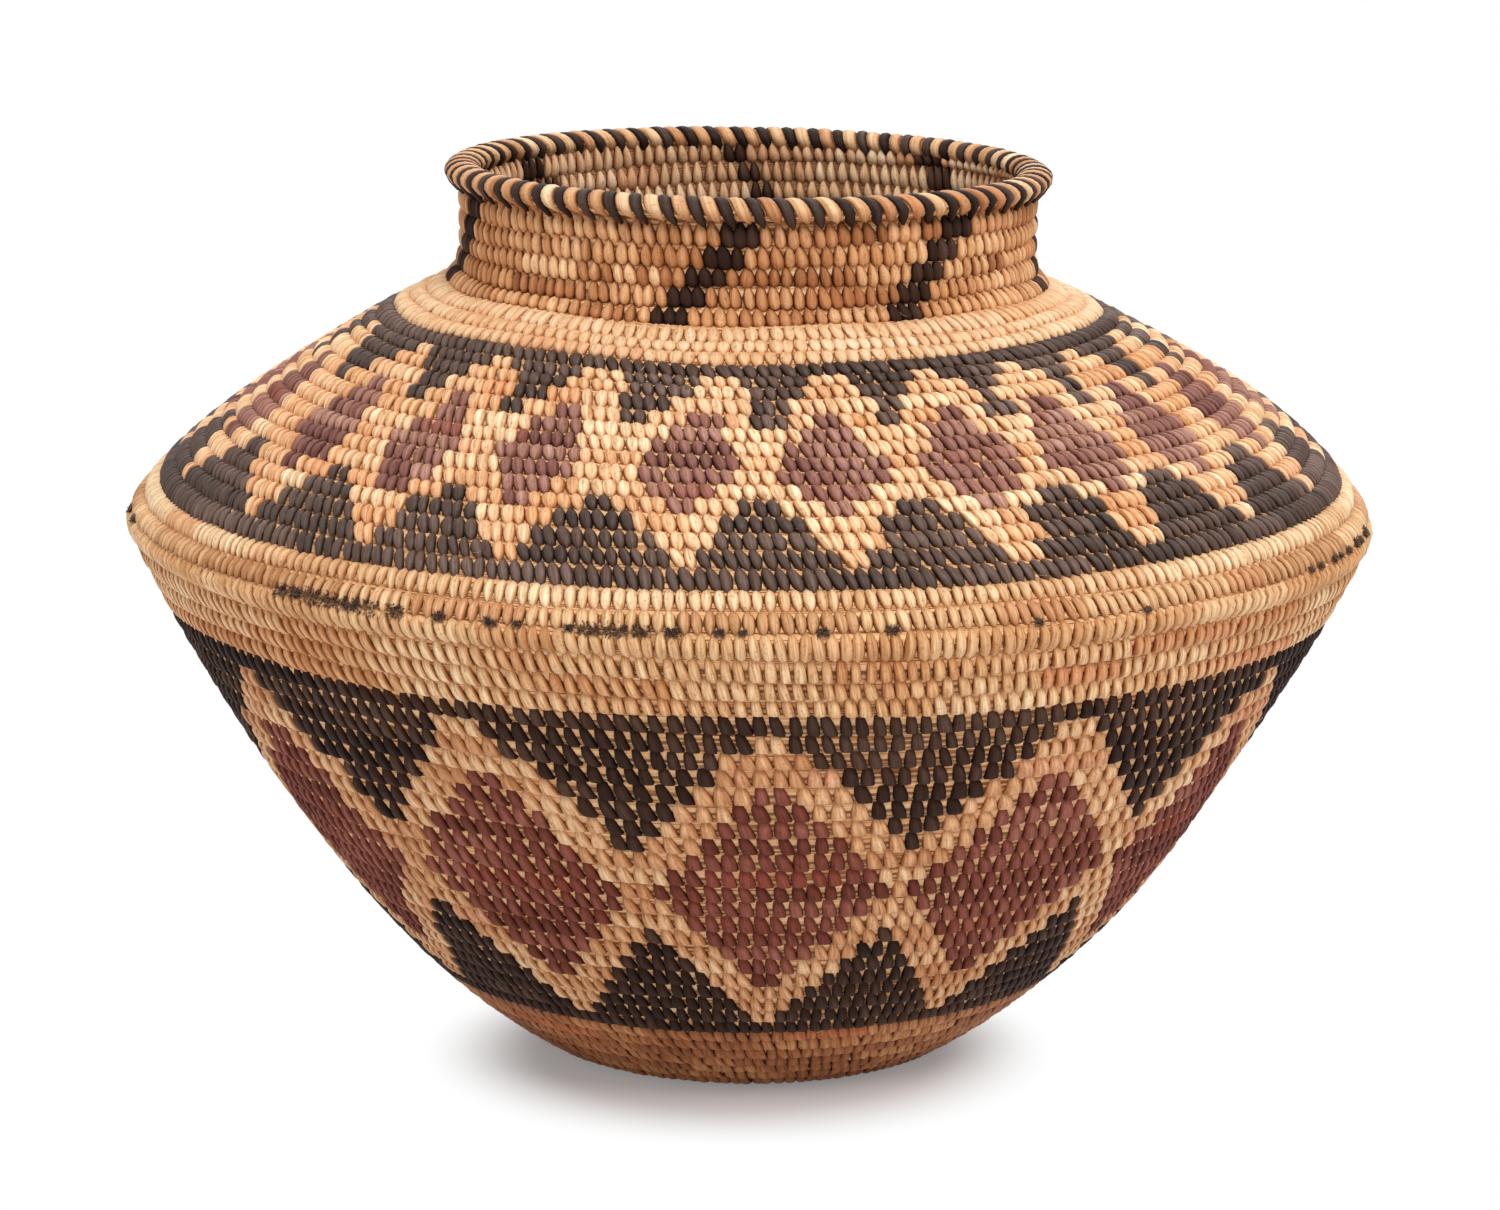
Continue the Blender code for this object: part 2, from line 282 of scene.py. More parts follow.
def grass_group():
    """Split grass: long fibres along the coil, pale straw with brown lines of painted shade between them,
    and painted shade in the seams.
    """
    group = bpy.data.node_groups.new("split grass", "ShaderNodeTree")
    seam_shade = group.interface.new_socket("Painted seam shade", in_out="INPUT", socket_type="NodeSocketFloat")
    seam_shade.default_value = 0.5
    group.interface.new_socket("Color", in_out="OUTPUT", socket_type="NodeSocketColor")
    group.interface.new_socket("Normal", in_out="OUTPUT", socket_type="NodeSocketVector")
    nodes, links = group.nodes, group.links
    given, made = nodes.new("NodeGroupInput"), nodes.new("NodeGroupOutput")
    maths, blend, noise, bump = node_makers(group)
    uv = nodes.new("ShaderNodeUVMap")
    uv.uv_map = "strip_uv"
    along = nodes.new("ShaderNodeMapping")
    along.inputs["Scale"].default_value = (16.0, 40.0, 1.0)
    links.new(uv.outputs["UV"], along.inputs["Vector"])
    fibre = noise(along.outputs["Vector"], 1.0, 4.0, 0.6)
    # the brown at the low end of this ramp is painted shade in the grooves between the fibres
    straw = nodes.new("ShaderNodeValToRGB")
    for place, colour in ((0.47, tone(228, 168, 114)), (0.58, tone(246, 198, 148))):
        straw.color_ramp.elements.new(place).color = colour
    straw.color_ramp.elements[0].position = 0.39
    straw.color_ramp.elements[0].color = tone(136, 80, 40)
    straw.color_ramp.elements[-1].position = 0.75
    straw.color_ramp.elements[-1].color = tone(253, 222, 176)
    links.new(fibre, straw.inputs["Fac"])

    # the grass is painted brown in the seams, away from the crown of the row, as painted shade
    place = nodes.new("ShaderNodeSeparateXYZ")
    links.new(uv.outputs["UV"], place.inputs["Vector"])
    unshaded_share = nodes.new("ShaderNodeMapRange")
    for label, value in (("From Min", 0.065), ("From Max", 0.13), ("To Min", 1.0)):
        unshaded_share.inputs[label].default_value = value
    links.new(maths("PINGPONG", place.outputs[1], 0.5), unshaded_share.inputs["Value"])
    links.new(maths("SUBTRACT", 1.0, given.outputs["Painted seam shade"]), unshaded_share.inputs["To Max"])
    links.new(blend(unshaded_share.outputs["Result"], tone(96, 54, 28), straw.outputs["Color"]), made.inputs["Color"])
    links.new(bump(fibre, 0.9, 0.0005), made.inputs["Normal"])
    return group


split_grass = grass_group()


def grass_material(name, seam_shade):
    """The split grass as a dull material, with its own share of painted seam shade."""
    material = bpy.data.materials.new(name)
    material.use_nodes = True
    nodes, links = material.node_tree.nodes, material.node_tree.links
    shader = nodes["Principled BSDF"]
    shader.inputs["Roughness"].default_value = 0.6
    shader.inputs["Specular IOR Level"].default_value = 0.22
    fibres = nodes.new("ShaderNodeGroup")
    fibres.node_tree = split_grass
    fibres.inputs["Painted seam shade"].default_value = seam_shade
    links.new(fibres.outputs["Color"], shader.inputs["Base Color"])
    links.new(fibres.outputs["Normal"], shader.inputs["Normal"])
    return material


# the shoulder's grass gets less painted shade in its seams than the rest
grass = grass_material("split grass", 0.5)
less_seam_shaded_grass = grass_material("split grass with less painted seam shade", 0.2)
grass_sides = 16
grass_squareness = 0.4
grass_overlap = 1.04
full_row, least_fullness = 0.003, 0.05
rings_per_turn, base_rings_per_turn = 110, 60
grass_depth = {"base": 0.0008, "foot": 0.0010, "belly": 0.0009, "waist": 0.0011, "ridge": 0.0013,
               "shoulder": 0.0014, "collar": 0.0008, "neck": 0.0015}
grass_rows = {"base": rows_of["base"], "foot": rows_of["foot"],
              "lower_belly": 7, "middle_belly": 7, "upper_belly": 7,
              "waist": rows_of["waist"], "ridge": rows_of["ridge"],
              "lower_shoulder": 7, "upper_shoulder": 8,
              "collar": rows_of["collar"], "neck": last_turn - first_turn["neck"]}
begin = 0
for part, rows in grass_rows.items():
    per_turn = base_rings_per_turn if part == "base" else rings_per_turn
    turns = np.linspace(begin, begin + rows, int(rows * per_turn) + 1)[:, None]
    low, high = row_edges(turns)
    roll = np.linspace(0, 2 * math.pi, grass_sides, endpoint=False)[None, :]
    out = np.sign(np.cos(roll)) * np.abs(np.cos(roll)) ** grass_squareness
    fullness = np.clip((high - low) / full_row, least_fullness, 1)
    half_thick = coil_thickness / 2 - grass_depth[part.split("_")[-1]]
    depth = coil_thickness / 2 - half_thick * out * fullness
    length = (low + high) / 2 + (high - low) / 2 * grass_overlap * np.sin(roll)
    points = wall_point(turns + 0 * roll, length, depth).reshape(-1, 3)
    uvs = np.stack([turns + 0 * roll, 0.5 - 0.5 * np.cos(roll / 2) + 0 * turns], -1).reshape(-1, 2)
    loops, sizes = tube_faces(len(turns), grass_sides, False)
    bundle = new_piece(part + "_grass", points, loops, sizes, uvs)
    bundle.data.materials.append(less_seam_shaded_grass if "shoulder" in part else grass)
    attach(bundle, "root")
    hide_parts(part + "_coil")
    begin += rows


# The knot at the middle of the base: a small pad of the same grass, wound tight and pressed flat.
# The maker starts with it, and the first turn of the coil winds off it and covers its edge.
knot_cover = 1.1
knot_flatness = 2.3


def deselect_all():
    """Leave nothing selected, as an operator acts on all that is."""
    for thing in list(bpy.context.selected_objects):
        thing.select_set(False)


deselect_all()
knot_middle = (0, 0, coil_thickness / 2)
bpy.ops.mesh.primitive_uv_sphere_add(segments=32, ring_count=16, radius=knot_r * knot_cover,
                                     location=knot_middle)
knot = bpy.context.active_object
knot.name = "knot_grass"
bpy.ops.object.mode_set(mode="EDIT")
bpy.ops.mesh.select_all(action="SELECT")
bpy.ops.transform.resize(value=(1, 1, coil_thickness / knot_r / knot_flatness), center_override=knot_middle)
bpy.ops.object.mode_set(mode="OBJECT")
bpy.ops.object.transform_apply(location=True, rotation=True, scale=True)
knot.data.uv_layers[0].name = "strip_uv"
knot.data.materials.append(grass)
knot.data.shade_smooth()
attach(knot, "root")
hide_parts("start_knot")


# The base and the foot: natural strips of palm leaf, brown with wear and handling, and painted
# darker still as painted shade where the wall turns under. A strip is a flat split leaf that goes over
# the row and through the edge of the row under it, so it shows as one plump stitch, tucked under the row
# above at its top and proud of the row below at its foot.
luck = np.random.default_rng(7)


def leaf_group():
    """Colour, roughness and fibres of a leaf strip, shared by the material of every strip."""
    group = bpy.data.node_groups.new("palm leaf strip", "ShaderNodeTree")
    for label in ("Deep", "Middle", "Pale", "Blush"):
        group.interface.new_socket(label, in_out="INPUT", socket_type="NodeSocketColor")
    for label, value in (("Fibre contrast", 0.25), ("Painted side and top shade", 0.5), ("Foot darkening", 0.0), ("Gloss", 0.5)):
        socket = group.interface.new_socket(label, in_out="INPUT", socket_type="NodeSocketFloat")
        socket.default_value = value
    group.interface.new_socket("Color", in_out="OUTPUT", socket_type="NodeSocketColor")
    group.interface.new_socket("Roughness", in_out="OUTPUT", socket_type="NodeSocketFloat")
    group.interface.new_socket("Normal", in_out="OUTPUT", socket_type="NodeSocketVector")
    nodes, links = group.nodes, group.links
    given, made = nodes.new("NodeGroupInput"), nodes.new("NodeGroupOutput")
    maths, blend, noise, bump = node_makers(group)

    # the chances of the run of leaf that a strip is split from, of the strip and of its grain
    strip = nodes.new("ShaderNodeAttribute")
    strip.attribute_name = "strip"
    chance = nodes.new("ShaderNodeSeparateColor")
    links.new(strip.outputs["Color"], chance.inputs["Color"])
    run, own, grain = chance.outputs[0], chance.outputs[1], chance.outputs[2]
    uv = nodes.new("ShaderNodeUVMap")
    uv.uv_map = "strip_uv"
    place = nodes.new("ShaderNodeSeparateXYZ")
    links.new(uv.outputs["UV"], place.inputs["Vector"])
    across, along = place.outputs[0], place.outputs[1]
    side = maths("ABSOLUTE", maths("MULTIPLY_ADD", across, 2.0, -1.0))

    # fibres run the length of the strip, each strip with its own
    fibre_spot = nodes.new("ShaderNodeCombineXYZ")
    links.new(maths("MULTIPLY_ADD", across, 6.0, maths("MULTIPLY", grain, 90.0)), fibre_spot.inputs[0])
    links.new(maths("MULTIPLY", along, 1.2), fibre_spot.inputs[1])
    links.new(maths("MULTIPLY", own, 31.0), fibre_spot.inputs[2])
    fibres = noise(fibre_spot.outputs[0], 1.0, 3.0)
    fibre = maths("SUBTRACT", fibres, 0.5)

    # handling and light darken and bleach the leaf in soft patches and small specks
    spot = nodes.new("ShaderNodeTexCoord")
    patches = noise(spot.outputs["Object"], 30.0, 4.0)
    specks = noise(spot.outputs["Object"], 900.0, 2.0)
    shade = maths("MULTIPLY_ADD", run, 0.62, maths("MULTIPLY", own, 0.28))
    shade = maths("ADD", shade, maths("MULTIPLY_ADD", patches, 0.9, -0.40), clamp=True)
    # the middle of each strip is painted paler, a painted highlight, and its sides deeper, painted shade
    # round its plump crown
    painted_crown_light_and_side_shade = maths("MULTIPLY_ADD", maths("POWER", side, 2.0), 0.55, -0.14)
    shade = maths("SUBTRACT", shade, painted_crown_light_and_side_shade, clamp=True)
    low = blend(maths("MULTIPLY", shade, 2.0, clamp=True), given.outputs["Deep"], given.outputs["Middle"])
    high = blend(maths("MULTIPLY_ADD", shade, 2.0, -1.0, clamp=True), low, given.outputs["Pale"])

    # about one run of leaf in ten is blushed with red
    blushed = maths("MULTIPLY_ADD", maths("FRACT", maths("MULTIPLY", run, 7.0)), 12.0, -10.9, clamp=True)
    leaf_colour = blend(maths("MULTIPLY", blushed, 0.7), high, given.outputs["Blush"])

    # fibres and specks, painted shade along the sides and at the tucked top end, and a darker foot take
    # light away, and blue the most
    light = maths("MULTIPLY_ADD", maths("MULTIPLY", fibre, given.outputs["Fibre contrast"]), 4.0, 1.0)
    speck = maths("MULTIPLY", maths("MULTIPLY_ADD", specks, 6.0, -3.4, clamp=True), 0.34)
    light = maths("SUBTRACT", light, speck)
    painted_side_and_top_shade = maths("MAXIMUM", maths("POWER", side, 3.5), maths("POWER", along, 4.0))
    foot_darkening = maths("POWER", maths("SUBTRACT", 1.0, along), 4.0)
    for painted_shade, label in ((painted_side_and_top_shade, "Painted side and top shade"), (foot_darkening, "Foot darkening")):
        kept = maths("SUBTRACT", 1.0, maths("MULTIPLY", painted_shade, given.outputs[label]))
        light = maths("MULTIPLY", light, kept)
    filtered = nodes.new("ShaderNodeCombineColor")
    for socket, power in zip(filtered.inputs, (0.7, 1.0, 1.35)):
        links.new(maths("POWER", light, power), socket)
    links.new(blend(1.0, leaf_colour, filtered.outputs[0], "MULTIPLY"), made.inputs["Color"])

    rough = maths("SUBTRACT", 0.80, maths("MULTIPLY", given.outputs["Gloss"], 0.45))
    links.new(maths("ADD", rough, maths("MULTIPLY", fibre, -0.4), clamp=True), made.inputs["Roughness"])
    links.new(bump(fibres, 0.8, 0.0004), made.inputs["Normal"])
    return group


leaf = leaf_group()


# Each material darkens the sides and the tucked top end of its strips by its own share of painted shade.
def strip_material(name, deep, middle, pale, blush, contrast, painted_shade, gloss=0.5, shine=0.28, foot=0.0):
    """A leaf strip in its own four tones, from its deepest to its palest and its blush."""
    material = bpy.data.materials.new(name)
    material.use_nodes = True
    nodes, links = material.node_tree.nodes, material.node_tree.links
    shader = nodes["Principled BSDF"]
    shader.inputs["Specular IOR Level"].default_value = shine
    palm = nodes.new("ShaderNodeGroup")
    palm.node_tree = leaf
    for label, colour in (("Deep", deep), ("Middle", middle), ("Pale", pale), ("Blush", blush)):
        palm.inputs[label].default_value = tone(*colour)
    values = (("Fibre contrast", contrast), ("Painted side and top shade", painted_shade), ("Foot darkening", foot), ("Gloss", gloss))
    for label, value in values:
        palm.inputs[label].default_value = value
    links.new(palm.outputs["Color"], shader.inputs["Base Color"])
    links.new(palm.outputs["Roughness"], shader.inputs["Roughness"])
    links.new(palm.outputs["Normal"], shader.inputs["Normal"])
    return material


def model_stitch(heights, widths, columns):
    """One stitch, modelled flat: x across and y up, with how far it falls away at its sides.

    heights and widths shape it from its foot to its top, and columns are its lines across.
    It is closed underneath, so each stitch is a solid of its own.
    """
    deselect_all()
    many, lines = len(heights), len(columns)
    bpy.ops.mesh.primitive_grid_add(x_subdivisions=lines - 1, y_subdivisions=many - 1, size=2)
    flat = bpy.context.active_object

    # its faces, with its corners numbered from left to right and from the foot up
    corners = np.array([v.co[:] for v in flat.data.vertices])
    order = np.lexsort((corners[:, 0], np.round(corners[:, 1], 4)))
    rank = np.argsort(order)
    quads = rank[np.array([list(face.vertices) for face in flat.data.polygons])]
    bpy.data.objects.remove(flat, do_unlink=True)
    across = np.tile([x for x, fall in columns], many)
    fall = np.tile([fall for x, fall in columns], many)
    up, width = np.repeat(heights, lines), np.repeat(widths, lines)

    # a face under each row and one at each end close it
    left = np.arange(many - 1) * lines
    under = np.stack([left, left + lines, left + 2 * lines - 1, left + lines - 1], -1)
    ends = np.stack([np.arange(lines)[::-1], (many - 1) * lines + np.arange(lines)])
    loops = np.concatenate([quads.ravel(), under.ravel(), ends.ravel()])
    sizes = np.concatenate([np.full(len(quads) + len(under), 4), [lines, lines]])
    return dict(across=across * width, up=up, fall=fall, loops=loops, sizes=sizes,
                uv=np.stack([across / 2 + 0.5, up], -1))


# the lines across a stitch from side to side, with how far each falls away from its crown
plump_columns = ((-1, 1.0), (-0.66, 0.32), (0, 0.0), (0.66, 0.32), (1, 1.0))
flat_columns = ((-1, 1.0), (-0.86, 0.16), (0, 0.0), (0.86, 0.16), (1, 1.0))
pad = model_stitch((0, 0.08, 0.26, 0.48, 0.68, 0.86, 1.0),
                   (0.54, 0.84, 1.0, 1.0, 0.93, 0.80, 0.56), plump_columns)
strap = model_stitch((0, 0.06, 0.22, 0.44, 0.66, 0.84, 1.0),
                     (0.70, 0.94, 1.0, 0.96, 0.88, 0.76, 0.54), flat_columns)
inner = model_stitch((0, 0.3, 0.75, 1.0), (0.6, 1.0, 0.95, 0.5), ((-1, 1.0), (0, 0.0), (1, 1.0)))

# a stretch's first stitch is first_gap of a turn into it, and the next turn follows the stitches
# below it from free_start on. catch_up is how strongly each is drawn to its place over them.
first_gap = 0.002
free_start = 0.01
catch_up = 0.13


def stitch_turns(begin, end, counts, between=0.5):
    """Where each stitch of a stretch sits along the coil, and its pitch, from the counts of its rows.

    Each is drawn towards a place over the gap between two stitches of the turn below, at the share
    between, and one is left out or put in where the row has grown too narrow or wide for that.
    """
    places, below = [begin + first_gap], 0
    while places[-1] < end:
        per_turn = np.interp(places[-1] - begin, np.arange(len(counts)) + 0.5, counts)
        under = places[-1] + 1 / per_turn - 1
        if under > begin + free_start:
            while places[below + 1] < under:
                below += 1
            phase = (under - places[below]) / (places[below + 1] - places[below])
            off = (between - phase + 0.5) % 1 - 0.5
        else:
            off = 0
        places.append(places[-1] + (1 + catch_up * off) / per_turn)
    places = np.array(places)
    return places[:-1], np.diff(places)


def wander(many, shortest, longest):
    """A value for each stitch that holds for one run of leaf, then changes with the next."""
    lengths = luck.integers(shortest, longest, many // shortest + 1)
    return np.repeat(luck.random(len(lengths)), lengths)[:many]


def strip_chances(run, corners):
    """The three chances of each strip, of its run of leaf, its own and its grain, at all its corners."""
    many = len(run)
    return np.repeat(np.stack([run, *luck.random((2, many)), np.ones(many)], -1), corners, axis=0)


def copied_faces(loops, sizes, corners, many):
    """The faces of one stitch or fibre, again for each of its copies."""
    shift = (np.arange(many) * corners)[:, None]
    return (loops[None] + shift).ravel(), np.tile(sizes, many)


# how unevenly a hand lays the strips: as shares of width, height and plumpness, in degrees for each
# part of a pitch that a stitch strays, in depth, and in stitches from one run of leaf
width_luck, height_luck, plump_luck = 0.12, 0.05, 0.12
slant_luck = 80
depth_luck = 0.0001
leaf_run = (4, 13)

# how sharply a strip's top turns in under the row above, and how much plumper its foot is
tuck_power = 1.8
foot_plump_share = 0.5


def sew(name, stitch, turns, pitch, material, fill, slant, plump=0.0012, tuck=0.0020, foot=(0.0016, 7),
        bite=0.13, reach=0.0, proud=0.0003, side=1, stray=0.09):
    """Lay copies of one stitch along the coil, each tucked in at its top and biting at its foot.

    fill is its width as a share of the pitch, and slant its lean in degrees. plump is how far its
    sides fall away, and proud how far it stands off the coil. tuck is how deep its top goes, and
    foot how deep its foot goes and how late it turns down. bite and reach are how far it goes past
    the seams under and over it, as shares of the row, and stray how far it may stray from its
    place, as a share of the pitch. A side of -1 lays it inside the wall.
    """
    many, corners = len(turns), len(stitch["up"])
    chance = luck.uniform(-1, 1, (many, 6))
    half = pitch / 2 * fill * (1 + width_luck * chance[:, 1])
    around = turns + pitch * stray * chance[:, 0]
    low, high = row_edges(around)
    radius = np.interp((low + high) / 2, outline_run, outline[:, 0])
    tilt = np.tan(np.radians(slant + slant_luck * stray * chance[:, 2]))
    slip = (high - low) * tilt / (2 * math.pi * radius)
    up = stitch["up"][None, :]
    rise = (1 + bite + reach) * up - bite + height_luck * chance[:, 3:4] * (1 - up)
    turn_at = around[:, None] + half[:, None] * stitch["across"][None, :] + slip[:, None] * (up - 0.5)
    low_at, high_at = row_edges(turn_at)
    length = low_at + (high_at - low_at) * rise
    middle = 2 * rise - 1
    foot_share = np.clip(-middle, 0, None) / (1 + 2 * bite)
    depth = tuck * np.clip(middle, 0, None) ** tuck_power + foot[0] * foot_share ** foot[1]
    fuller = 1 + foot_plump_share * foot_share ** 2 + plump_luck * chance[:, 4:5]
    depth = depth + plump * fuller * stitch["fall"][None, :]
    depth = depth + depth_luck * (1 + chance[:, 5:6]) - proud
    if side < 0:
        depth = coil_thickness - depth
    points = wall_point(turn_at, length, depth).reshape(-1, 3)

    # the coil runs clockwise, so a stitch's corners go in reverse for its faces to look outwards
    loops, sizes = copied_faces(stitch["loops"][::-side], stitch["sizes"][::-side], corners, many)
    uvs = np.tile(stitch["uv"], (many, 1))
    piece = new_piece(name, points, loops, sizes, uvs, strip_chances(wander(many, *leaf_run), corners))
    piece.data.materials.append(material)
    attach(piece, "root")


def sew_inside(name, turns, pitch, material, fill=0.93, slant=-8):
    """The inside of the same stitches, which is plainer and leans the other way."""
    sew(name, inner, turns, pitch, material, fill, slant, foot=(0.0014, 3), side=-1)


# the base and foot strips are darker than the belly's, partly their own browner tone and partly painted
# shade where the wall turns under
worn = strip_material("worn and shaded natural strips", (140, 82, 44), (178, 113, 67), (212, 154, 103), (186, 102, 56),
                      contrast=0.46, painted_shade=0.7)
base_counts = (26, 38, 50, 62, 74, 86, 98, 110)
foot_counts = (124, 138, 150, 160, 168, 174, 180)
turns, pitch = stitch_turns(0, first_turn["foot"], base_counts)
sew("base_natural_strips", pad, turns, pitch, worn, fill=1.30, slant=6, plump=0.0004,
    tuck=0.0010, foot=(0.0008, 3), reach=0.05, proud=0)
sew_inside("base_inner_strips", turns, pitch, worn, fill=0.94, slant=0)
turns, pitch = stitch_turns(first_turn["foot"], first_turn["belly"], foot_counts)
sew("foot_natural_strips", pad, turns, pitch, worn, fill=1.22, slant=14, plump=0.0007,
    tuck=0.0013, foot=(0.0010, 2.5), bite=0.16, reach=0.12, stray=0.15)
sew_inside("foot_inner_strips", turns, pitch, worn)


# The belly: a band of twelve plum diamonds in natural frames, with dark triangles over and under.
# The dyed strips are broad straps with a square foot and the natural ones narrow to a point at the
# top. All are flat strips of leaf, and lean to the left towards their tops.
belly_natural = strip_material("belly natural strips", (200, 136, 88), (228, 174, 126), (246, 208, 164),
                               (222, 150, 112), contrast=0.50, painted_shade=0.45)
dark = strip_material("dark dyed strips", (40, 24, 18), (60, 39, 30), (90, 66, 54), (66, 40, 29),
                      contrast=0.36, painted_shade=0.25, gloss=0.4, shine=0.09)
plum = strip_material("plum dyed strips", (96, 46, 36), (128, 68, 54), (160, 98, 84), (140, 64, 48),
                      contrast=0.32, painted_shade=0.25, gloss=0.4, shine=0.10)
pennant = model_stitch((0, 0.05, 0.18, 0.38, 0.6, 0.8, 1.0),
                       (0.80, 0.98, 1.0, 0.92, 0.78, 0.60, 0.36), flat_columns)
belly_counts = (182, 184) + 11 * (186,) + (184, 181, 181, 187, 205, 217, 226, 236)
diamonds = 12
diamond_bearing = 2.0
half_diamond_stitches = 7.75
widest_row = 11
frame_stitches_off, plum_stitches_off = 0.9, 3.9

# degrees of slant, and how much wider the dark and plum strips are, by row from the top
belly_slant = {1: 15, 14: 16, 21: 12}
wider_by_row = {1: 0, 12: 0.02, 16: 0.10, 21: 0.15}


def bearing(turn):
    """Degrees round from the front of the basket, plus to the right."""
    return (180 - 360 * turn + 180) % 360 - 180


def read_off(table, place):
    """What a table of places and values gives at a place, even between those that it has."""
    return np.interp(place, list(table), list(table.values()))


# rows are counted from the top of the belly, and a diamond is wider by a stitch on each side in
# every row towards its middle
turns, pitch = stitch_turns(first_turn["belly"], first_turn["waist"], belly_counts, between=0.12)
row = rows_of["belly"] - np.floor(turns - first_turn["belly"]).astype(int)
half_diamond = 180 / diamonds
off_axis = np.abs((bearing(turns) - diamond_bearing + half_diamond) % (2 * half_diamond) - half_diamond)
from_axis = off_axis / half_diamond * half_diamond_stitches
step = widest_row - np.abs(row - widest_row)
frame_half = np.where(step > frame_stitches_off + 1, step - frame_stitches_off, 0)
plum_half = np.where(step > plum_stitches_off + 1, step - plum_stitches_off, 0)
colour = np.where(from_axis < frame_half, "natural", "dark")
colour = np.where(from_axis < plum_half, "plum", colour)
slant = read_off(belly_slant, row)
wider = read_off(wider_by_row, row)
for kind, stitch, material, fill, extra, slot in (
        ("natural", pennant, belly_natural, 1.0, 0 * wider, "natural_palm"),
        ("dark", strap, dark, 0.83, wider, "dark_palm"),
        ("plum", strap, plum, 0.84, wider, "plum_palm")):
    pick = colour == kind
    sew("belly_" + kind + "_strips", stitch, turns[pick], pitch[pick], material,
        fill=(fill + extra)[pick], slant=slant[pick], bite=0.14, reach=0.06, plump=0.0011)
    sew_inside("belly_inner_" + kind + "_strips", turns[pick], pitch[pick], material, fill)


# The waist and the ridge: plain natural rows, sewn finer and closer. The ridge row is the widest
# place of the basket. The waist has flat straps, the ridge row long bars and the two rows over it
# plump ovals, all of the same split leaf.
waist_natural = strip_material("waist natural strips", (204, 134, 80), (232, 180, 128), (252, 216, 172),
                               (226, 148, 102), contrast=0.50, painted_shade=0.65)
ridge_natural = strip_material("ridge natural strips", (200, 138, 86), (224, 174, 124), (244, 206, 160),
                               (220, 150, 102), contrast=0.46, painted_shade=0.6)
ridge_worn = strip_material("worn ridge strips", (182, 126, 80), (216, 167, 120), (246, 207, 160),
                            (208, 140, 94), contrast=0.46, painted_shade=0.65, foot=0.3)
ridge_pale = strip_material("pale ridge strips", (208, 152, 102), (236, 194, 148), (252, 226, 186),
                            (228, 164, 116), contrast=0.38, painted_shade=0.6)
bar = model_stitch((0, 0.05, 0.16, 0.36, 0.6, 0.78, 0.91, 1.0),
                   (0.50, 0.84, 1.0, 1.0, 0.97, 0.80, 0.46, 0.12), plump_columns)
oval = model_stitch((0, 0.08, 0.2, 0.38, 0.58, 0.76, 0.9, 1.0),
                    (0.22, 0.56, 0.86, 1.0, 1.0, 0.84, 0.50, 0.12), plump_columns)
waist_counts = (262, 280, 300)
ridge_counts = (330, 338, 342)
turns, pitch = stitch_turns(first_turn["waist"], first_turn["ridge"], waist_counts, between=0.2)
sew("waist_natural_strips", strap, turns, pitch, waist_natural, fill=0.90, slant=14,
    bite=0.14, reach=0.06)
sew_inside("waist_inner_strips", turns, pitch, waist_natural)
turns, pitch = stitch_turns(first_turn["ridge"], first_turn["shoulder"], ridge_counts)
row = np.floor(turns - first_turn["ridge"]).astype(int)
for kind, k, stitch, material, bite in (("natural", 0, bar, ridge_natural, 0.10),
                                        ("worn", 1, oval, ridge_worn, 0.13),
                                        ("pale", 2, oval, ridge_pale, 0.12)):
    sew("ridge_" + kind + "_strips", stitch, turns[row == k], pitch[row == k], material,
        fill=1.07, slant=6, plump=0.0013, tuck=0.0017, foot=(0.0015, 3), bite=bite, reach=0.12)
sew_inside("ridge_inner_strips", turns, pitch, waist_natural)


# The shoulder: a finer band, dark teeth at its top and bottom and plum diamonds between them.
# Its stitches are short plump almonds of split leaf, set close, and lean to the left by some
# twenty degrees.
almond = model_stitch((0, 0.09, 0.2, 0.36, 0.54, 0.72, 0.87, 1.0),
                      (0.24, 0.58, 0.86, 1.0, 0.97, 0.76, 0.44, 0.12), plump_columns)
shoulder_natural = strip_material("shoulder natural strips", (222, 156, 102), (242, 192, 144),
                                  (253, 224, 182), (232, 154, 104), contrast=0.50, painted_shade=0.45)
shoulder_dark = strip_material("shoulder dark strips", (57, 41, 33), (86, 64, 53), (119, 94, 82),
                               (74, 51, 41), contrast=0.52, painted_shade=0.2, gloss=0.6, shine=0.35)
shoulder_plum = strip_material("shoulder plum strips", (108, 64, 57), (152, 103, 89), (194, 146, 126),
                               (142, 74, 60), contrast=0.48, painted_shade=0.2, gloss=0.45, shine=0.24)
shoulder_counts = (300, 282, 262, 250, 244, 240, 236, 232, 228, 222, 216, 210, 194, 184, 174)

# bearings of the diamonds' middles: uneven round the front, as the maker placed them by eye, and
# even round the back. Rows are counted from the top, and the lower ones have crept to the left
# at the front. The halves are half widths in stitches, by row.
front_diamonds = [-75.9, -55.5, -38.2, -21.3, -4.0, 10.8, 26.1, 40.4, 55.2, 72.0]
back_gaps = 13
middles = np.linspace(front_diamonds[-1], front_diamonds[0] + 360, back_gaps + 1)
middles = np.concatenate([front_diamonds, middles[1:]])
natural_half = {2: 1.2, 3: 2.3, 4: 3.3, 13: 2.2, 14: 1.2}
plum_half = {5: 1.2, 6: 2.0, 7: 2.8, 8: 3.7, 9: 3.5, 10: 2.5, 11: 1.2}
tooth_half = {5: 1.2, 11: 1.5, 12: 3.0}
creep_by_bearing = {-50: 0, -38: 1.0, -21: 2.6, -4: 3.0, 11: 1.6, 26: 0.6, 40: 0}
creep_by_row = {3: 0, 7: 1, 10: 1, 14: 0.75}
shoulder_slant = {1: 26, 3: 20, 12: 20, 14: 26, 15: 20}
turns, pitch = stitch_turns(first_turn["shoulder"], first_turn["collar"], shoulder_counts)
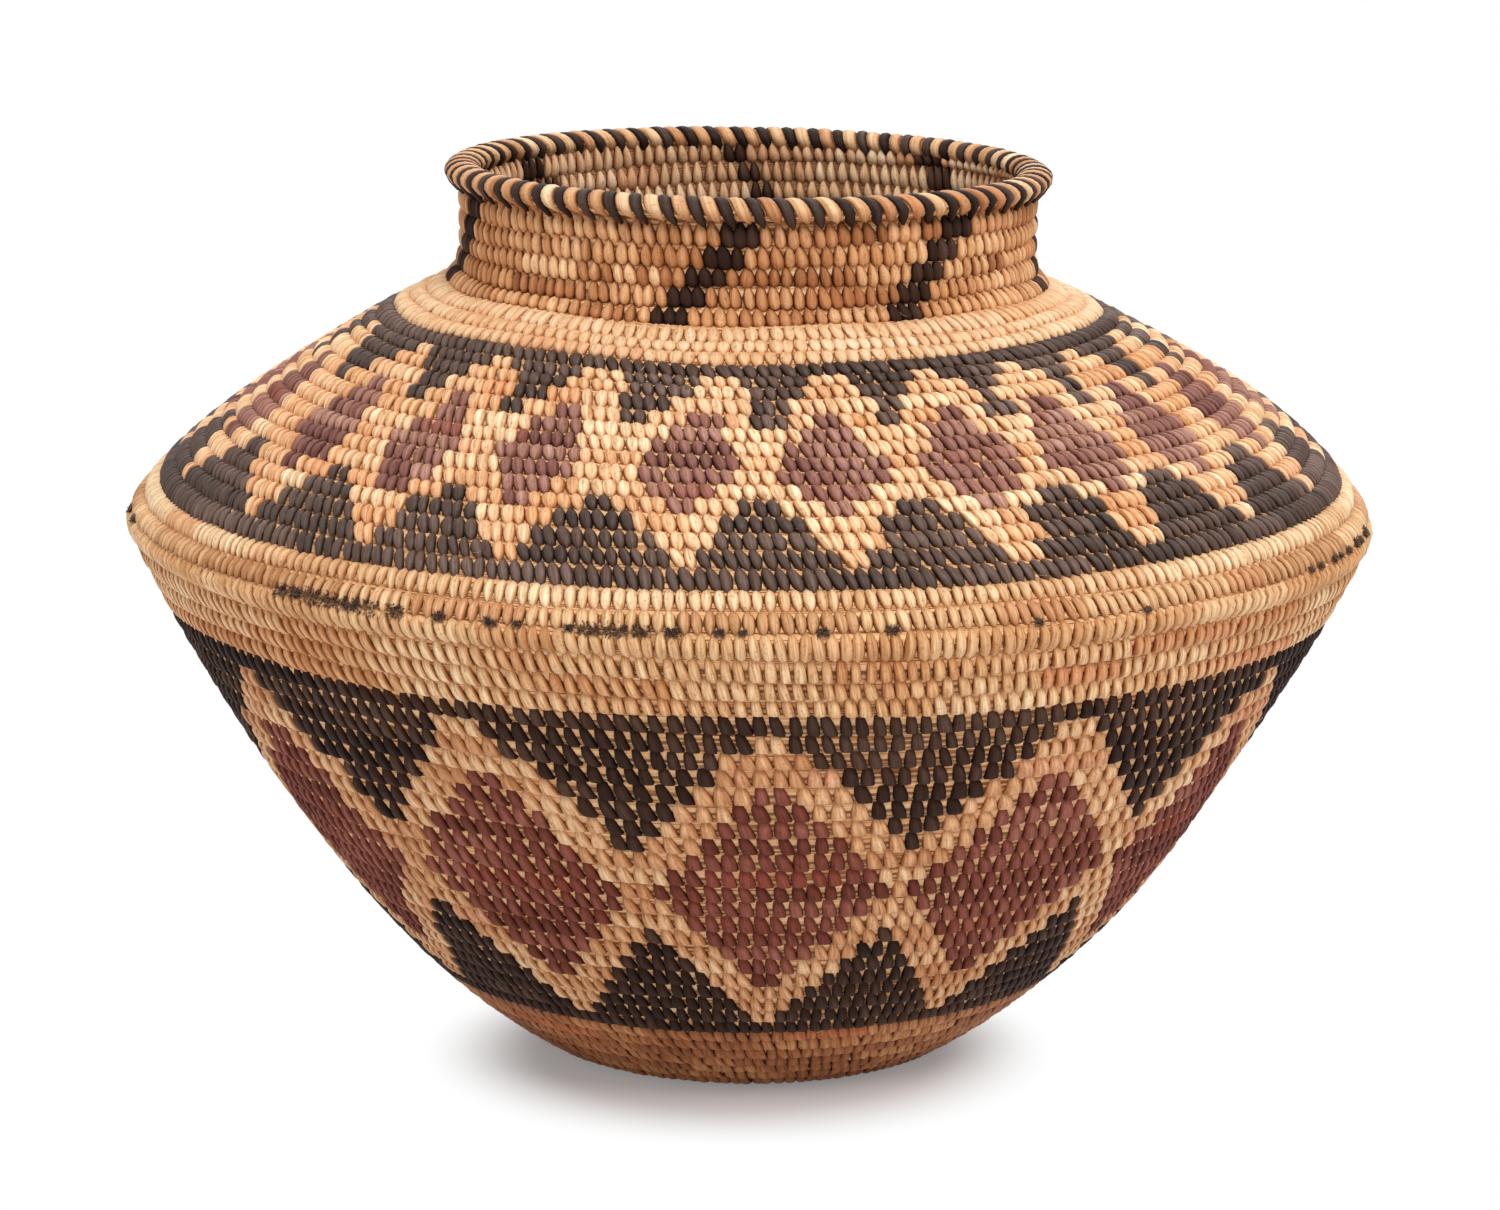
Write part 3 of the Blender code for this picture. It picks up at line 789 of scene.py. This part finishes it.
row = rows_of["shoulder"] - np.floor(turns - first_turn["shoulder"]).astype(int)
crept = read_off(creep_by_bearing, bearing(turns)) * read_off(creep_by_row, row)
angle = (bearing(turns) + crept - middles[0]) % 360 + middles[0]
cell = np.clip(np.searchsorted(middles, angle) - 1, 0, len(middles) - 2)
between = middles[cell + 1] - middles[cell]
into = (angle - middles[cell]) / between
stitches_between = between / 360 / pitch
from_middle = np.minimum(into, 1 - into) * stitches_between
from_tooth = stitches_between / 2 - from_middle
colour = np.full(len(turns), "natural", dtype=object)
for k in range(1, rows_of["shoulder"] + 1):
    here = row == k
    colour[here & (from_middle > natural_half.get(k, math.inf))] = "dark"
    colour[here & (from_tooth < tooth_half.get(k, 0))] = "dark"
    colour[here & (from_middle < plum_half.get(k, 0))] = "plum"
    if k in (1, rows_of["shoulder"]):
        colour[here] = "dark"
slant = read_off(shoulder_slant, row)
for kind, material, fill, slot in (("natural", shoulder_natural, 1.12, "natural_palm"),
                                   ("dark", shoulder_dark, 1.03, "dark_palm"),
                                   ("plum", shoulder_plum, 1.04, "plum_palm")):
    pick = colour == kind
    sew("shoulder_" + kind + "_strips", almond, turns[pick], pitch[pick], material, fill=fill,
        slant=slant[pick], plump=0.0011, foot=(0.0014, 2.5), bite=0.18, reach=0.12, tuck=0.0017, stray=0.11)
    sew_inside("shoulder_inner_" + kind + "_strips", turns[pick], pitch[pick], material, fill)


# The collar: three pale natural rows where the shoulder turns up into the neck. Its strips are
# split leaf, sewn as those of the shoulder are but a little flatter.
collar_natural = strip_material("collar natural strips", (230, 174, 124), (240, 196, 150), (250, 218, 178),
                                (232, 160, 110), contrast=0.30, painted_shade=0.25)
collar_counts = (168, 164, 160)
turns, pitch = stitch_turns(first_turn["collar"], first_turn["neck"], collar_counts)
sew("collar_natural_strips", almond, turns, pitch, collar_natural, fill=1.12, slant=6,
    plump=0.0009, tuck=0.0014, foot=(0.0011, 2.5), bite=0.16, reach=0.12)
sew_inside("collar_inner_strips", turns, pitch, waist_natural)


# The neck: amber rows of drop-shaped stitches, with seven dark marks that climb to the right and
# paler runs of leaf, placed more often towards the sides as painted light on the neck's lit sides.
# Its strips go right through the wall, so the inside shows the same marks.
drop = model_stitch((0, 0.07, 0.18, 0.33, 0.5, 0.68, 0.85, 1.0),
                    (0.46, 0.82, 1.0, 1.0, 0.88, 0.62, 0.34, 0.10), plump_columns)
amber = strip_material("amber neck strips", (142, 82, 42), (188, 126, 78), (234, 184, 136),
                       (186, 114, 70), contrast=0.36, painted_shade=0.5)
pale_side_lit_amber = strip_material("pale side-lit neck strips", (176, 112, 64), (220, 162, 110), (248, 206, 158),
                            (212, 140, 92), contrast=0.36, painted_shade=0.5)
inner_amber = strip_material("inner neck strips", (206, 152, 110), (236, 192, 150), (255, 226, 190),
                             (220, 156, 112), contrast=0.34, painted_shade=0.5)
neck_counts = (150, 144, 139, 138, 138, 138)
thinnest_row = 0.0016
mark_bearings = np.array([-76, -8.9, 36.8, 85, 128, 175.6, -132])
mark_row = 2
mark_climb = 3.05
mark_half = 3.9
pale_run = (3, 9)
painted_side_light_by_bearing = {15: 0.15, 55: 0.8}
turns, pitch = stitch_turns(first_turn["neck"], last_turn, neck_counts)
low, high = row_edges(turns)
sewn = high - low > thinnest_row
turns, pitch = turns[sewn], pitch[sewn]
row = np.floor(turns - first_turn["neck"]) - mark_row
lag = bearing(turns)[:, None] - mark_bearings[None, :] - mark_climb * row[:, None]
marked = (np.abs((lag + 180) % 360 - 180) < mark_half).any(axis=1)
# paler runs of leaf come more often towards the sides, which paints light on the neck's sides
pale_and_side_lit = wander(len(turns), *pale_run) < read_off(painted_side_light_by_bearing, np.abs(bearing(turns)))
for kind, material, inside, fill, pick, slot in (
        ("natural", amber, inner_amber, 1.10, ~marked & ~pale_and_side_lit, "amber_palm"),
        ("pale_and_side_lit", pale_side_lit_amber, inner_amber, 1.10, ~marked & pale_and_side_lit, "amber_palm"),
        ("dark", dark, dark, 1.20, marked, "dark_palm")):
    sew("neck_" + kind + "_strips", drop, turns[pick], pitch[pick], material, fill=fill, slant=8,
        plump=0.0012, foot=(0.0007, 4), bite=0.10, reach=0.22, tuck=0.0018)
    sew("neck_inner_" + kind + "_strips", drop, turns[pick], pitch[pick], inside, fill=1.02, slant=-8,
        plump=0.0013, foot=(0.0013, 3), bite=0.14, reach=0.16, tuck=0.0013, side=-1)


# The rim: the last ring of grass, with two strips whipped side by side round it, one dark and one
# natural. They go over the rim and down through the top row of the neck, inside and out.
rim_inset = 0.0010
rim_middle_r = neck_r - rim_inset
rim_thick, rim_tall = 0.0053, 0.0038
rim_rings = 240
rim_core_share = 0.78
rim_fibres_along, rim_fibres_round = 2, 6
rim_wraps = 65
wrap_lines = 15
wrap_end_widths = [0.2, 0.6, 0.85]
wrap_plump_share = 0.22
wrap_slant, wrap_slant_middle = 0.95, 0.3
leg_share = 0.22
leg_inset = 0.0022
past_leg_share = 0.12
wrap_reach_luck, wrap_place_luck, wrap_width_luck, wrap_plump_luck = 0.02, 0.04, 0.06, 0.03


def rim_point(around, roll, share):
    """A point round the rim's oval section: roll 0 is outermost, a quarter turn is the top."""
    out = rim_middle_r + rim_thick * share * np.cos(roll)
    x = out * np.cos(around)
    return np.stack([x, out * np.sin(around), rim_z + rim_tall * share * np.sin(roll) - lean(rim_z) * x], -1)


around = np.linspace(0, 2 * math.pi, rim_rings, endpoint=False)[:, None]
roll = np.linspace(0, 2 * math.pi, grass_sides, endpoint=False)[None, :]
loops, sizes = tube_faces(rim_rings, grass_sides, True)
uvs = np.stack([around / rim_fibres_along + 0 * roll, roll / rim_fibres_round + 0 * around], -1)
points = rim_point(around + 0 * roll, roll, rim_core_share).reshape(-1, 3)
core = new_piece("rim_grass", points, loops, sizes, uvs.reshape(-1, 2))
core.data.materials.append(grass)
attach(core, "root")
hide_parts("rim_core")

full_widths = [1.0] * (wrap_lines - 2 * len(wrap_end_widths))
whip = model_stitch(np.linspace(0, 1, wrap_lines), wrap_end_widths + full_widths + wrap_end_widths[::-1],
                    plump_columns)
# the natural rim strip darkens towards its outer foot, painted shade under the roll of the rim
rim_natural = strip_material("natural rim strip", (190, 126, 80), (230, 178, 128), (254, 224, 182),
                             (222, 152, 102), contrast=0.40, painted_shade=0.5, foot=0.45)
rim_dark = strip_material("dark rim strip", (38, 26, 22), (60, 44, 38), (92, 74, 66), (56, 40, 34),
                          contrast=0.36, painted_shade=0.3, gloss=0.5, shine=0.13)
wrap_pitch = 2 * math.pi / rim_wraps
for kind, phase, share, leg_length, material, slot in (
        ("dark", 0.0, 0.47, 0.0034, rim_dark, "dark_palm"),
        ("natural", 0.5, 0.58, 0.0020, rim_natural, "natural_palm")):
    wraps = np.arange(rim_wraps)[:, None]
    chance = luck.uniform(-1, 1, (rim_wraps, 4))
    up = whip["up"][None, :] + wrap_reach_luck * chance[:, 0:1]
    roll = math.pi * np.clip((up - leg_share) / (1 - 2 * leg_share), -past_leg_share, 1 + past_leg_share)
    place = wraps + phase + wrap_place_luck * chance[:, 1:2] - wrap_slant * (up - wrap_slant_middle)
    half = wrap_pitch * share / 2 * (1 + wrap_width_luck * chance[:, 2:3])
    around = wrap_pitch * place + half * whip["across"][None, :]
    proud = 1.0 + wrap_plump_luck * chance[:, 3:4] - wrap_plump_share * whip["fall"][None, :]
    points = rim_point(around, roll, proud)
    leg = np.clip(np.abs(up - 0.5) - (0.5 - leg_share), 0, None) / leg_share
    drawn_in = (rim_thick - leg_inset) / neck_r * np.sign(0.5 - up) * leg
    points[..., :2] *= (1 - drawn_in)[..., None]
    points[..., 2] -= leg_length * leg
    corners = len(whip["up"])
    loops, sizes = copied_faces(whip["loops"], whip["sizes"], corners, rim_wraps)
    piece = new_piece("rim_" + kind + "_strip", points.reshape(-1, 3), loops, sizes,
                      np.tile(whip["uv"], (rim_wraps, 1)), strip_chances(luck.random(rim_wraps), corners))
    piece.data.materials.append(material)
    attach(piece, "root")
    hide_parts("rim_wrap_" + kind)


# Loose fibres: the frayed ends of dark strips, left as tufts in the seam over the ridge row, and
# stray hairs of leaf that stick out of the stitching here and there.
hair_rings, hair_sides = 5, 3
hair_root_depth = 0.0008
hair_bend_share = 0.25
hair_tip_share = 0.05
hair_lift_power = 0.7
hair_droop_share = 0.6


def add_fibres(name, material, turn, length, run, rise, stand, thickness):
    """Thin tapered hairs from a place on the wall: run along the row, rise across it, stand off it."""
    many = len(turn)
    values = (turn, length, run, rise, stand, thickness)
    turn, length, run, rise, stand, thickness = (value[:, None, None] for value in values)
    share = np.linspace(0, 1, hair_rings)[None, :, None]
    radius = np.interp(length, outline_run, outline[:, 0])
    corner_across, corner_out = np.array([[-0.5, 0.5, 0], [0, 0, 1]])
    wide = thickness * (1 + hair_tip_share - share ** 2)
    bend = np.sin(share * math.pi) * hair_bend_share
    turn_at = turn + (run * (share + bend) + corner_across * wide) / (2 * math.pi * radius)
    depth = hair_root_depth - stand * share ** hair_lift_power - corner_out * wide
    length_at_share = length + rise * (share - hair_droop_share * bend)
    points = wall_point(turn_at, length_at_share + 0 * turn_at, depth + 0 * turn_at).reshape(-1, 3)
    corners = hair_rings * hair_sides
    loops, sizes = copied_faces(*tube_faces(hair_rings, hair_sides, False), corners, many)
    middle = np.concatenate([0.5 + 0 * share[0], share[0]], -1)
    uvs = np.tile(np.repeat(middle, hair_sides, axis=0), (many, 1))
    piece = new_piece(name, points, loops, sizes, uvs, strip_chances(luck.random(many), corners))
    piece.data.materials.append(material)
    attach(piece, "root")


# the bearing and the size of each tuft
tufts = np.array([
    (-44.1, 1.4), (-42.3, 1.1), (-40.4, 1.7), (-38.2, 1.8), (-36.1, 1.3), (-34.3, 1.9), (-31.2, 1.5),
    (-26.8, 0.9), (-22, 0.8), (-19.6, 0.5), (-15, 0.5), (-13.3, 1.5), (-11.1, 1.6), (-8.9, 1.2),
    (-6.2, 1.0), (-2.4, 0.5), (-0.5, 0.4), (6.2, 0.7), (12, 0.7), (25, 0.4), (36, 0.4), (59, 0.4),
    (61, 0.3), (64.5, 0.6), (66, 0.3), (68.5, 0.5), (72, 0.9), (73.5, 0.5), (77, 1.0), (-79, 0.8),
    (-84, 0.9), (150, 0.8), (158, 1.0), (171, 0.7)])
tuft_hairs = 90
tuft_size = 1.2
tuft_half_degrees, tuft_half_height = 0.50, 0.0011
tuft_run, tuft_rise, tuft_stand = 0.0008, 0.0009, 0.0006
tuft_stand_middle = 1.2
tuft_hair_thickness = 0.00050
spread = luck.uniform(-1, 1, (len(tufts), tuft_hairs, 5))
size = tuft_size * tufts[:, 1][:, None]
angle = tufts[:, 0][:, None] + tuft_half_degrees * size * spread[:, :, 0]
turn = first_turn["ridge"] + 1 + to_front - angle / 360
length = seam(turn) + tuft_half_height * size * spread[:, :, 1]
add_fibres("ridge_dark_tufts", shoulder_dark, turn.ravel(), length.ravel(),
           run=(tuft_run * spread[:, :, 2]).ravel(), rise=(tuft_rise * spread[:, :, 3]).ravel(),
           stand=(tuft_stand * (tuft_stand_middle + spread[:, :, 4])).ravel(),
           thickness=(tuft_hair_thickness + 0 * turn).ravel())

stray_hairs = 110
stray_run, stray_rise = 0.006, 0.003
stray_stand, stray_stand_luck = 0.0012, 0.0006
stray_thickness, stray_thickness_luck = 0.00016, 0.00005
turn = luck.uniform(first_turn["belly"], last_turn - 1, stray_hairs)
spread = luck.uniform(-1, 1, (stray_hairs, 4))
add_fibres("stray_leaf_fibres", belly_natural, turn, seam(turn),
           run=stray_run * spread[:, 0], rise=stray_rise * spread[:, 1],
           stand=stray_stand + stray_stand_luck * spread[:, 2],
           thickness=stray_thickness + stray_thickness_luck * spread[:, 3])


# The floor, the light and the camera. Rays that look at the background see it plain white, while
# the object is lit by a softer sky and two broad lamps. The floor is a sheet of white paper that
# keeps the object's shadow, and glows to white away from it.
floor_size = 40
floor_drop = 0.0002
shadow_middle = (-0.003, -0.024, 0)
shadow_r, clear_r = 0.056, 0.094
sky_strength = 0.56
camera_place = (0.0004, -1.435, 0.4378)
camera_pitch = 12.18


def looking_rays(tree):
    """1 for a ray from the camera, or one that a glossy or clear surface sends on, else 0."""
    maths = node_makers(tree)[0]
    ray = tree.nodes.new("ShaderNodeLightPath")
    sent_on = maths("MAXIMUM", ray.outputs["Is Glossy Ray"], ray.outputs["Is Transmission Ray"])
    return maths("MAXIMUM", ray.outputs["Is Camera Ray"], sent_on)


deselect_all()
bpy.ops.mesh.primitive_plane_add(size=floor_size, location=(0, 0, -floor_drop))
floor = bpy.context.active_object
floor.name = "studio_floor"
paper = bpy.data.materials.new("white paper")
paper.use_nodes = True
nodes, links = paper.node_tree.nodes, paper.node_tree.links
shader = nodes["Principled BSDF"]
shader.inputs["Base Color"].default_value = (0.80, 0.78, 0.77, 1)
shader.inputs["Roughness"].default_value = 0.9
shader.inputs["Specular IOR Level"].default_value = 0.0
glow = nodes.new("ShaderNodeEmission")
glow.inputs["Strength"].default_value = 1.0
spot = nodes.new("ShaderNodeTexCoord")
away = nodes.new("ShaderNodeVectorMath")
away.operation = "DISTANCE"
away.inputs[1].default_value = shadow_middle
links.new(spot.outputs["Object"], away.inputs[0])
fade = nodes.new("ShaderNodeMapRange")
fade.interpolation_type = "SMOOTHSTEP"
for label, value in (("From Min", shadow_r), ("From Max", clear_r), ("To Min", 0.20), ("To Max", 1.0)):
    fade.inputs[label].default_value = value
links.new(away.outputs["Value"], fade.inputs["Value"])
maths = node_makers(paper.node_tree)[0]
mix = nodes.new("ShaderNodeMixShader")
links.new(maths("MULTIPLY", looking_rays(paper.node_tree), fade.outputs["Result"]), mix.inputs[0])
links.new(shader.outputs[0], mix.inputs[1])
links.new(glow.outputs[0], mix.inputs[2])
links.new(mix.outputs[0], nodes["Material Output"].inputs["Surface"])
floor.data.materials.append(paper)

world = bpy.data.worlds.new("studio")
scene.world = world
world.use_nodes = True
nodes, links = world.node_tree.nodes, world.node_tree.links
sky = nodes["Background"]
sky.inputs["Color"].default_value = (1, 1, 1, 1)
sky.inputs["Strength"].default_value = sky_strength
white = nodes.new("ShaderNodeBackground")
white.inputs["Strength"].default_value = 1.0
mix = nodes.new("ShaderNodeMixShader")
links.new(looking_rays(world.node_tree), mix.inputs[0])
links.new(sky.outputs[0], mix.inputs[1])
links.new(white.outputs[0], mix.inputs[2])
links.new(mix.outputs[0], nodes["World Output"].inputs["Surface"])

for name, strength, softness, tilt, turned in (("key_light", 2.0, 30, 38, 20),
                                               ("back_light", 0.7, 40, 45, 170)):
    light = bpy.data.lights.new(name, "SUN")
    light.energy = strength
    light.angle = math.radians(softness)
    lamp = bpy.data.objects.new(name, light)
    lamp.rotation_euler = (math.radians(tilt), 0, math.radians(turned))
    scene.collection.objects.link(lamp)

lens = bpy.data.cameras.new("camera")
lens.lens = 120
lens.sensor_width = 36
camera = bpy.data.objects.new("camera", lens)
camera.location = camera_place
camera.rotation_euler = (math.radians(90 - camera_pitch), 0, 0)
scene.collection.objects.link(camera)
scene.camera = camera
scene.view_settings.view_transform = "Standard"
